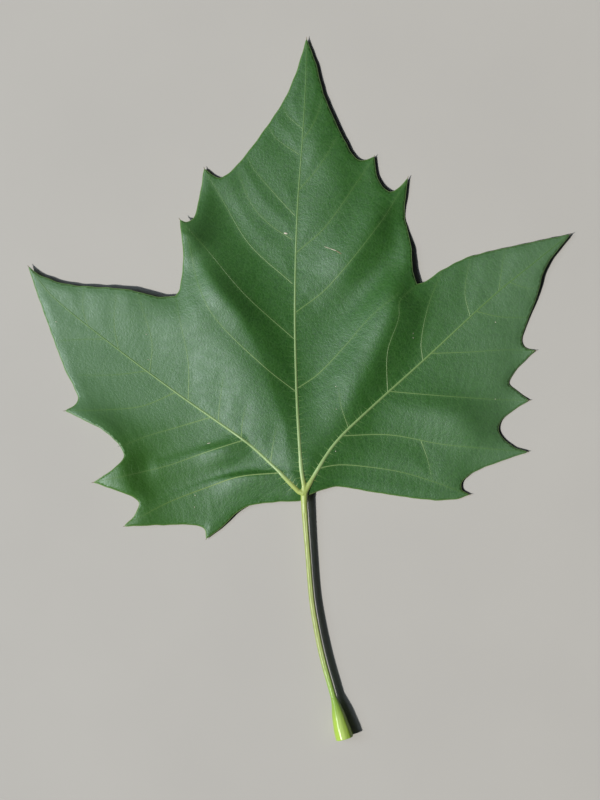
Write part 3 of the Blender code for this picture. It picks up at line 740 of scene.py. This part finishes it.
def build_ladder_veins(tree, veins, material):
    """The ladder veins, each with a short pale tick where it leaves its vein."""
    lines, radii, paleness = [], [], []
    starts = np.cumsum([len(plan) for plan in veins.ladder])[:-1]
    heights = np.split(full_height(np.vstack(veins.ladder), veins), starts)
    for plan, height, start in zip(veins.ladder, heights, veins.ladder_start):
        travelled = lengths(plan)
        tick = start * bell(travelled, TICK_LENGTH)
        radius = LADDER_WIDTH / 2 * (1 - LADDER_TAPER * travelled / travelled[-1] + TICK_FLARE * tick)
        lines.append(np.column_stack([plan, height + LADDER_PROUD + TICK_PROUD * tick - radius]))
        radii.append(radius)
        paleness.append(0.01 + 1.1 * tick)
    return build_limbs("ladder_veins", tree, lines, radii, paleness, LADDER_SIDES, material)


def build_margin_rim(tree, outline, veins, material):
    """The pale thickened rim that runs round the blade's whole margin."""
    height = full_height(outline, veins) - BLADE_THICKNESS / 2
    line = np.column_stack([outline, height])
    radii = [np.full(len(line), RIM_RADIUS)]
    paleness = [np.full(len(line), RIM_PALENESS)]
    return build_limbs("margin_rim", tree, [line], radii, paleness, FINE_SIDES, material, closed=True)


def build_tooth_tips(tree, outline, veins, material):
    """The small hard point in which each tooth of the margin ends."""
    rng = random.Random(SEED)
    lines, radii, paleness = [], [], []
    for sharp, *_ in MARGIN:
        if sharp in (LEFT_SINUS, RIGHT_SINUS) or math.hypot(*sharp) < HUB_CORNER:
            continue
        tooth = np.array(sharp)
        near = outline[np.argsort(np.linalg.norm(outline - tooth, axis=1))[:9]]
        outward = tooth - near.mean(axis=0)
        outward /= np.linalg.norm(outward)
        reach = rng.uniform(*TIP_REACH)
        steps = np.linspace(-TIP_ROOT, reach, SHORT_LIMB_POINTS)
        plan = tooth + outward * steps[:, None]
        curl = TIP_CURL * np.clip(steps, 0, None) ** 2
        lines.append(np.column_stack([plan, full_height(tooth[None], veins)[0] - TIP_RADII[1] + curl]))
        radii.append(np.interp(steps, (-TIP_ROOT, 0, reach), TIP_RADII))
        paleness.append(np.interp(steps, (-TIP_ROOT, 0, reach), TIP_PALENESS))
    return build_limbs("tooth_tips", tree, lines, radii, paleness, FINE_SIDES, material)


def build_specks(tree, veins, material):
    """Pale flecks that lie on the blade, and one short scratch."""
    lines, radii, paleness = [], [], []
    for start, end, width, pale in SPECKS:
        steps = np.linspace(0, 1, SHORT_LIMB_POINTS)[:, None]
        plan = np.array(start) * (1 - steps) + np.array(end) * steps
        radius = width / 2 * (0.25 + 0.75 * np.sin(math.pi * steps[:, 0]) ** 0.6)
        lines.append(np.column_stack([plan, full_height(plan, veins) + SPECK_PROUD - SPECK_SUNK * radius]))
        radii.append(radius)
        paleness.append(np.full(SHORT_LIMB_POINTS, pale))
    return build_limbs("specks", tree, lines, radii, paleness, FINE_SIDES, material)


# The stalk, its foot and the hub, lofted from rings.


def frames_of(line):
    """At each point of a 3D line, the unit vectors along it, across it and up."""
    run = headings(line)
    across = np.cross(run, (0, 0, 1))
    across /= np.linalg.norm(across, axis=1)[:, None]
    return run, across, np.cross(across, run)


def loft(name, centres, across, up, radii, material, values):
    """A closed limb from rings. radii has a row for each ring and a column for each side."""
    sides = radii.shape[1]
    angle = around(sides)
    from_top = np.abs((angle - math.pi / 2 + math.pi) % math.tau - math.pi)
    spoke = across[:, None] * np.cos(angle)[:, None] + up[:, None] * np.sin(angle)[:, None]
    points = (centres[:, None] + spoke * radii[:, :, None]).reshape(-1, 3)
    faces = []
    for ring in range(len(centres) - 1):
        for side in range(sides):
            after = (side + 1) % sides
            here, there = ring * sides, (ring + 1) * sides
            faces.append((here + side, here + after, there + after, there + side))
    first, last = len(points), len(points) + 1
    end = (len(centres) - 1) * sides
    for side in range(sides):
        after = (side + 1) % sides
        faces.append((first, after, side))
        faces.append((last, end + side, end + after))
    points = np.vstack([points, centres[:1], centres[-1:]])
    piece = new_piece(name, points, [], faces, material)
    per_point = np.concatenate([np.repeat(values, sides), values[:1], values[-1:]])
    give_values(piece, "travelled", per_point)
    give_values(piece, "from_top", np.concatenate([np.tile(from_top, len(centres)), (math.pi, math.pi)]))
    return piece


def build_stalk(material):
    """The stalk, with the channel along its top and the fine ridges round it."""
    line = along(STALK, LIMB_STEP)
    line[:, 2] += folded(line[:, :2])
    _, across, up = frames_of(line[:, :3])
    angle = around(STALK_SIDES)
    from_top = (angle - math.pi / 2 + math.pi) % math.tau - math.pi
    groove = GROOVE_DEPTH * bell(from_top, GROOVE_WIDTH)
    travelled = lengths(line[:, :3])
    fade = np.clip((travelled[-1] - travelled) / GROOVE_FADE, 0, 1)[:, None]
    twist = RIDGE_TWIST * np.sin(travelled / RIDGE_TWIST_LENGTH)[:, None]
    ridges = RIDGE_HEIGHT * np.cos(RIDGES * angle + twist)
    radii = line[:, 3:4] * (1 - groove * fade + ridges)
    return loft("stalk", line[:, :3], across, up, radii, material, travelled / travelled[-1])


def build_foot(material):
    """The swollen foot with its rounded lip and the hollow inside."""
    line = along(FOOT, FOOT_STEP)
    centres, radius = line[:, :3], line[:, 3]
    run, across, up = frames_of(centres)
    outward = run[-1]
    turn = np.linspace(0, math.pi, LIP_RINGS + 1)[1:]
    lip_radius = radius[-1] - LIP_ROUND * (1 - np.cos(turn))
    lip_centres = centres[-1] + outward * LIP_ROUND * np.sin(turn)[:, None]
    # The hollow narrows to its mouth over the first sixth of its depth, and closes at its end.
    inward = np.linspace(0, 1, HOLLOW_RINGS + 1)[1:]
    hollow_centres = centres[-1] - outward * HOLLOW_DEPTH * inward[:, None]
    lip_inside = radius[-1] - 2 * LIP_ROUND
    hollow_radius = lip_inside + (MOUTH_RADIUS - lip_inside) * np.clip(inward * 6, 0, 1)
    hollow_radius *= np.clip(1.04 - inward, 0, 1) ** 0.6
    all_centres = np.vstack([centres, lip_centres, hollow_centres])
    all_radii = np.concatenate([radius, lip_radius, hollow_radius])
    extra = len(all_centres) - len(centres)
    across = np.vstack([across, np.repeat(across[-1:], extra, axis=0)])
    up = np.vstack([up, np.repeat(up[-1:], extra, axis=0)])
    travelled = lengths(centres)
    values = np.concatenate([travelled / travelled[-1], np.linspace(1, 2, extra)])
    angle = around(FOOT_SIDES)
    uneven = 1 + 0.012 * np.cos(5 * angle + 1.0) + 0.008 * np.cos(11 * angle)
    return loft("stalk_foot_skin", all_centres, across, up, all_radii[:, None] * uneven, material, values)


def build_hub(veins, material):
    """The knot where the stalk splits into the three main veins, melted into one skin."""
    line = along(HUB_ARM, LIMB_STEP)
    line[:, 2] += folded(line[:, :2])
    arms = [(line, np.interp(lengths(line) / lengths(line)[-1], (0, 0.45, 1), HUB_ARM_RADII))]
    heart = np.array(HUB_HEART) + (0, 0, folded(np.zeros((1, 2)))[0])
    for name, plan in veins.main.items():
        _, start_width, _ = MAIN_VEINS[name]
        plan = plan[lengths(plan) < HUB_REACH]
        radius = start_width / 2
        height = full_height(plan, veins) + VEIN_PROUD[0] - radius
        line = np.vstack([heart, np.column_stack([plan, height])])
        share = np.linspace(0, 1, len(line))
        widths = (1.1, 1.12 * radius, 1.02 * radius, 0.8 * radius)
        arms.append((line, np.interp(share, (0, 0.2, 0.7, 1), widths)))
    pieces = []
    for line, radius in arms:
        _, across, up = frames_of(line)
        rings = np.repeat(radius[:, None], HUB_SIDES, axis=1)
        pieces.append(loft("hub_arm", line, across, up, rings, material, np.zeros(len(line))))
    hub = pieces[0]
    chosen = {"active_object": hub, "selected_editable_objects": pieces, "selected_objects": pieces}
    with bpy.context.temp_override(**chosen):
        bpy.ops.object.join()
    hub.name = hub.data.name = "hub"
    melt = hub.modifiers.new("melt", "REMESH")
    melt.mode = "VOXEL"
    melt.voxel_size = HUB_VOXEL * MM
    melt.use_smooth_shade = True
    soften = hub.modifiers.new("soften", "SMOOTH")
    soften.factor = HUB_SOFTENING
    soften.iterations = HUB_SOFTENING_ROUNDS
    settle(hub)
    give_values(hub, "paleness", np.ones(len(hub.data.vertices)))
    return hub


# Materials. Every pattern is worked out from the piece's own place in millimetres, and every change of colour
# across or along the whole leaf from its place in the frame's metres.


def value_of(tree, name):
    """A number stored on the piece's points."""
    return add(tree, "ShaderNodeAttribute", attribute_name=name).outputs["Fac"]


def maths(tree, how, first, second):
    """Two numbers put together by a Math node."""
    return add(tree, "ShaderNodeMath", {0: first, 1: second}, operation=how).outputs[0]


def ramp_between(tree, value, low, high, at_low, at_high):
    """The value eased from at_low to at_high as it goes from low to high."""
    eased = add(tree, "ShaderNodeMapRange", {0: value, 1: low, 2: high, 3: at_low, 4: at_high})
    eased.interpolation_type = "SMOOTHSTEP"
    return eased.outputs[0]


def blend(tree, factor, first, second, strength=None):
    """Two colours blended by a factor, which can be weakened."""
    if strength is not None:
        factor = maths(tree, "MULTIPLY", factor, strength)
    mixed = add(tree, "ShaderNodeMix", {0: factor}, data_type="RGBA")
    for index, colour in ((6, first), (7, second)):
        if isinstance(colour, bpy.types.NodeSocket):
            tree.links.new(colour, mixed.inputs[index])
        else:
            mixed.inputs[index].default_value = (*colour, 1)
    return mixed.outputs[2]


def place_of(tree):
    """The piece's own coordinates, in the frame's metres."""
    return add(tree, "ShaderNodeTexCoord").outputs["Object"]


def place_in_mm(tree, size, lengthways=1.0):
    """The piece's own coordinates in millimetres, shrunk by the size and drawn out lengthways."""
    scale = (1 / MM, lengthways / MM, 1 / MM)
    in_mm = add(tree, "ShaderNodeVectorMath", {0: place_of(tree), 1: scale}, operation="MULTIPLY")
    return add(tree, "ShaderNodeVectorMath", {0: in_mm.outputs[0], 1: size}, operation="DIVIDE").outputs[0]


def group_with(name, numbers):
    """An empty shader group with number inputs and one number output called Value."""
    tree = bpy.data.node_groups.new(name, "ShaderNodeTree")
    for label, number in numbers.items():
        socket = tree.interface.new_socket(label, in_out="INPUT", socket_type="NodeSocketFloat")
        socket.default_value = number
    tree.interface.new_socket("Value", in_out="OUTPUT", socket_type="NodeSocketFloat")
    return tree, add(tree, "NodeGroupInput"), add(tree, "NodeGroupOutput")


def cloud_group(name, size, detail, lengthways=1.0):
    """Cloudy noise of a named size in millimetres, from 0 to 1."""
    tree, given, made = group_with(name, {"Size": size, "Detail": detail, "Contrast": 1.0})
    place = place_in_mm(tree, given.outputs["Size"], lengthways)
    look = {"Vector": place, "Scale": 1.0, "Detail": given.outputs["Detail"]}
    centred = maths(tree, "SUBTRACT", add(tree, "ShaderNodeTexNoise", look).outputs["Fac"], 0.5)
    spread = maths(tree, "MULTIPLY", centred, given.outputs["Contrast"])
    lifted = add(tree, "ShaderNodeMath", {0: spread, 1: 0.5}, operation="ADD", use_clamp=True)
    tree.links.new(lifted.outputs[0], made.inputs["Value"])
    return tree


def veinlet_group():
    """The finest net of veins: 1 on its lines and 0 inside its cells."""
    tree, given, made = group_with("veinlet_net", {"Cell": 1.0, "Line": 0.12})
    place = place_in_mm(tree, given.outputs["Cell"])
    wander = add(tree, "ShaderNodeTexNoise", {"Vector": place, "Scale": 1.3, "Detail": 2.0})
    half = {0: wander.outputs["Color"], 1: (0.5, 0.5, 0.5)}
    shift = add(tree, "ShaderNodeVectorMath", half, operation="MULTIPLY")
    moved = add(tree, "ShaderNodeVectorMath", {0: place, 1: shift.outputs[0]}, operation="ADD")
    nets = []
    for scale, weight in ((1.0, 0.65), (2.3, 0.35)):
        look = {"Vector": moved.outputs[0], "Scale": scale}
        cells = add(tree, "ShaderNodeTexVoronoi", look, feature="DISTANCE_TO_EDGE")
        nets.append(ramp_between(tree, cells.outputs["Distance"], 0.0, given.outputs["Line"], weight, 0.0))
    tree.links.new(maths(tree, "ADD", *nets), made.inputs["Value"])
    return tree


class Patterns:
    """The shader groups that several materials share."""

    def __init__(self):
        self.mottle = cloud_group("mottle", 5.0, 4.0)
        self.veinlets = veinlet_group()
        self.streaks = cloud_group("streaks", 0.4, 3.0, STREAK_STRETCH)

    @staticmethod
    def use(tree, group, **numbers):
        """One of the groups in a material's tree, with its numbers set."""
        node = add(tree, "ShaderNodeGroup", node_tree=group)
        for label, number in numbers.items():
            node.inputs[label].default_value = number
        return node.outputs["Value"]


def new_material(name, roughness, specular):
    """A material with its tree and its shader node."""
    material = bpy.data.materials.new(name)
    material.use_nodes = True
    tree = material.node_tree
    shader = tree.nodes["Principled BSDF"]
    shader.inputs["Roughness"].default_value = roughness
    shader.inputs["Specular IOR Level"].default_value = specular
    return material, tree, shader


def show(tree, shader, colour, height=None, distance=0.0):
    """Feeds the shader its colour, and a bump whose full height is given in millimetres."""
    tree.links.new(colour, shader.inputs["Base Color"])
    if height is not None:
        bump = add(tree, "ShaderNodeBump", {"Height": height, "Distance": distance * MM, "Strength": 1.0})
        tree.links.new(bump.outputs["Normal"], shader.inputs["Normal"])


def blade_top_material(patterns):
    """Deep glossy green, mottled, with a net of veinlets, paler beside each vein, yellower towards the left,
    and with painted sheen towards both sides.
    """
    material, tree, shader = new_material("blade_top", 0.50, 0.7)
    patches = patterns.use(tree, patterns.mottle, Size=7.0, Detail=5.0, Contrast=1.7)
    cloud = patterns.use(tree, patterns.mottle, Size=2.2, Detail=3.0, Contrast=2.5)
    grain = patterns.use(tree, patterns.mottle, Size=0.7, Detail=3.0, Contrast=3.0)
    net = patterns.use(tree, patterns.veinlets, Cell=1.15, Line=0.16)
    gloss = patterns.use(tree, patterns.mottle, Size=3.0, Detail=4.0, Contrast=1.6)
    place = add(tree, "ShaderNodeSeparateXYZ", {0: place_of(tree)})
    # leftward carries the left lobe's yellower tint and, with above_hub, its painted sheen
    leftward = ramp_between(tree, place.outputs["X"], -0.008, -0.075, 0.0, 0.62)
    # a mask of painted sheen that grows towards the right lobe
    right_painted_sheen = ramp_between(tree, place.outputs["X"], 0.030, 0.088, 0.0, 0.45)
    above_hub = ramp_between(tree, place.outputs["Y"], -0.024, -0.002, 0.0, 0.65)
    green = blend(tree, patches, *BLADE_GREENS)
    green = blend(tree, cloud, green, BLADE_CLOUD, 0.30)
    green = blend(tree, grain, green, BLADE_GRAIN, 0.72)
    green = blend(tree, leftward, green, BLADE_LEFT)
    # painted sheen on the left lobe above the hub
    green = blend(tree, leftward, green, BLADE_LEFT_PAINTED_SHEEN, above_hub)
    green = blend(tree, net, green, BLADE_NET, 0.16)
    seam = ramp_between(tree, value_of(tree, "from_vein"), 0.0, 1.0, 0.22, 0.0)
    green = blend(tree, seam, green, BLADE_SEAM)
    ladder = ramp_between(tree, value_of(tree, "from_ladder"), 0.0, 0.5, 0.10, 0.0)
    green = blend(tree, ladder, green, BLADE_LADDER)
    edge = ramp_between(tree, value_of(tree, "from_margin"), 0.0, 0.5, 0.35, 0.0)
    green = blend(tree, edge, green, BLADE_EDGE)
    # painted sheen towards the right lobe
    green = blend(tree, right_painted_sheen, green, BLADE_RIGHT_PAINTED_SHEEN)
    tree.links.new(ramp_between(tree, gloss, 0, 1, 0.47, 0.57), shader.inputs["Roughness"])
    shader.inputs["Specular Tint"].default_value = (*BLADE_SHEEN, 1)
    relief = maths(tree, "SUBTRACT", maths(tree, "MULTIPLY", grain, 0.6), maths(tree, "MULTIPLY", net, 0.5))
    show(tree, shader, green, relief, 0.04)
    return material


def blade_under_material(patterns):
    """The paler, duller underside, with its net of veinlets standing up."""
    material, tree, shader = new_material("blade_under", 0.68, 0.35)
    patches = patterns.use(tree, patterns.mottle, Size=6.0, Detail=4.0, Contrast=1.5)
    net = patterns.use(tree, patterns.veinlets, Cell=1.15, Line=0.18)
    green = blend(tree, patches, *UNDER_GREENS)
    green = blend(tree, net, green, UNDER_NET, 0.45)
    seam = ramp_between(tree, value_of(tree, "from_vein"), 0.0, 1.0, 0.7, 0.0)
    green = blend(tree, seam, green, UNDER_SEAM)
    show(tree, shader, green, net, 0.06)
    return material


def vein_material(patterns):
    """Veins: yellow-green where they are pale, and blade green where they sink away."""
    material, tree, shader = new_material("vein", 0.44, 0.5)
    streaks = patterns.use(tree, patterns.streaks, Size=0.25, Contrast=1.6)
    place = add(tree, "ShaderNodeSeparateXYZ", {0: place_of(tree)})
    pale = blend(tree, streaks, *VEIN_PALES)
    hubward = ramp_between(tree, place.outputs["Y"], -0.026, -0.033, 0.0, 0.8)
    pale = blend(tree, hubward, pale, VEIN_HUB)
    green = blend(tree, value_of(tree, "paleness"), VEIN_SUNK, pale)
    show(tree, shader, green, streaks, 0.03)
    return material


def stalk_material(patterns):
    """Olive skin in long streaks, a painted highlight along the channel on top, and greener towards the foot.
    """
    material, tree, shader = new_material("stalk_skin", 0.42, 0.5)
    streaks = patterns.use(tree, patterns.streaks, Size=0.30, Contrast=2.2)
    patches = patterns.use(tree, patterns.mottle, Size=2.5, Detail=4.0, Contrast=1.8)
    travelled = value_of(tree, "travelled")
    skin = blend(tree, streaks, *STALK_OLIVES)
    skin = blend(tree, patches, skin, STALK_PATCH, 0.35)
    skin = blend(tree, ramp_between(tree, travelled, 0.0, 0.22, 0.85, 0.0), skin, STALK_OLIVES[1])
    # painted highlight: paler along the top of the stalk
    stalk_highlight_mask = ramp_between(tree, value_of(tree, "from_top"), 0.10, 0.60, 0.34, 0.0)
    skin = blend(tree, stalk_highlight_mask, skin, STALK_PAINTED_HIGHLIGHT)
    footward = ramp_between(tree, travelled, 0.70, 0.985, 0.0, 1.0)
    skin = blend(tree, footward, skin, STALK_TO_FOOT)
    show(tree, shader, skin, streaks, 0.05)
    return material


def foot_material(patterns):
    """Shiny lime skin, greener where it leaves the stalk, with a painted highlight along its top, and
    brownish inside the hollow.
    """
    material, tree, shader = new_material("foot_skin", 0.32, 0.5)
    streaks = patterns.use(tree, patterns.streaks, Size=0.5, Contrast=1.5)
    travelled = value_of(tree, "travelled")
    lime = blend(tree, streaks, *FOOT_LIMES)
    lime = blend(tree, ramp_between(tree, travelled, 0.05, 0.75, 0.95, 0.0), lime, STALK_TO_FOOT)
    # painted highlight: paler along the top of the foot, away from the stalk
    foot_highlight_mask = ramp_between(tree, value_of(tree, "from_top"), 0.15, 0.75, 0.22, 0.0)
    lime = blend(tree, foot_highlight_mask, lime, FOOT_PAINTED_HIGHLIGHT, ramp_between(tree, travelled, 0.15, 0.6, 0.0, 1.0))
    lime = blend(tree, ramp_between(tree, travelled, 1.15, 1.45, 0.0, 1.0), lime, FOOT_HOLLOW)
    show(tree, shader, lime, streaks, 0.04)
    return material


def fleck_material(patterns):
    """Brown to off-white, by the piece's own paleness."""
    material, tree, shader = new_material("fleck", 0.6, 0.5)
    grain = patterns.use(tree, patterns.mottle, Size=0.3, Detail=3.0, Contrast=1.5)
    white = blend(tree, grain, *FLECK_WHITES)
    colour = blend(tree, value_of(tree, "paleness"), FLECK_BROWN, white)
    show(tree, shader, colour)
    return material


def floor_material(patterns):
    """Plain pale grey with broad, faint patches."""
    material, tree, shader = new_material("floor_paint", 0.9, 0.2)
    patches = patterns.use(tree, patterns.mottle, Size=60.0, Detail=5.0, Contrast=1.0)
    show(tree, shader, blend(tree, patches, *FLOOR_GREYS))
    return material


# The stage.


def build_floor(material):
    """The ground that the leaf lies on."""
    bpy.ops.mesh.primitive_plane_add(size=8)
    floor = bpy.context.object
    floor.name = "floor"
    floor.data.materials.append(material)


def add_light(name, kind, strength, colour, toward):
    """A light that shines on the leaf from the direction."""
    light = bpy.data.objects.new(name, bpy.data.lights.new(name, kind))
    light.data.energy = strength
    light.data.color = colour
    light.rotation_euler = Vector(toward).to_track_quat("Z", "Y").to_euler()
    bpy.context.scene.collection.objects.link(light)
    return light


def build_lights():
    """The sun, the softbox and the light from all round."""
    sun = add_light("key_light", "SUN", SUN_STRENGTH, SUN_COLOUR, SUN_FROM)
    sun.data.angle = math.radians(SUN_ANGLE)
    softbox = add_light("softbox", "AREA", SOFTBOX_POWER, SOFTBOX_COLOUR, SOFTBOX_FROM)
    softbox.data.shape = "DISK"
    softbox.data.size = SOFTBOX_SIZE
    softbox.location = Vector(SOFTBOX_FROM) * SOFTBOX_DISTANCE
    world = bpy.data.worlds.new("soft_fill")
    world.use_nodes = True
    fill = world.node_tree.nodes["Background"]
    fill.inputs["Color"].default_value = (*FILL_COLOUR, 1)
    fill.inputs["Strength"].default_value = FILL_STRENGTH
    bpy.context.scene.world = world
    bpy.context.scene.view_settings.view_transform = "Standard"


def build_camera():
    """A camera straight over the leaf, with the centre lobe up."""
    camera = bpy.data.objects.new("camera", bpy.data.cameras.new("camera"))
    camera.data.sensor_width = SENSOR
    camera.data.lens = SENSOR * CAMERA_HEIGHT / (VIEW_HEIGHT * MM)
    camera.location = (*in_frame((*VIEW_CENTRE, 0))[:2], CAMERA_HEIGHT)
    bpy.context.scene.collection.objects.link(camera)
    bpy.context.scene.camera = camera


def main():
    """Builds the leaf's looks and the stage."""
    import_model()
    patterns = Patterns()
    top = blade_top_material(patterns)
    under = blade_under_material(patterns)
    vein = vein_material(patterns)
    stalk = stalk_material(patterns)
    foot = foot_material(patterns)
    fleck = fleck_material(patterns)

    outline = leaf_outline()
    veins = Veins(outline)
    tree = limb_tree()
    blade = build_blade(outline, veins, top, under)
    finish_piece(blade, "leaf_blade", "centre_lobe", "left_lobe", "right_lobe")
    for name in MAIN_VEINS:
        finish_piece(build_main_vein(name, tree, veins, vein), "main_vein", name)
    finish_piece(build_side_veins(tree, veins, vein), "main_vein")
    finish_piece(build_ladder_veins(tree, veins, vein), "main_vein")
    finish_piece(build_margin_rim(tree, outline, veins, vein), "leaf_blade")
    finish_piece(build_tooth_tips(tree, outline, veins, fleck), "leaf_blade")
    finish_piece(build_specks(tree, veins, fleck), "leaf_blade")
    finish_piece(build_hub(veins, vein), "main_vein")
    finish_piece(build_stalk(stalk), "stalk", "stalk")
    finish_piece(build_foot(foot), "stalk_foot", "stalk_foot")

    build_floor(floor_material(patterns))
    build_lights()
    build_camera()


main()
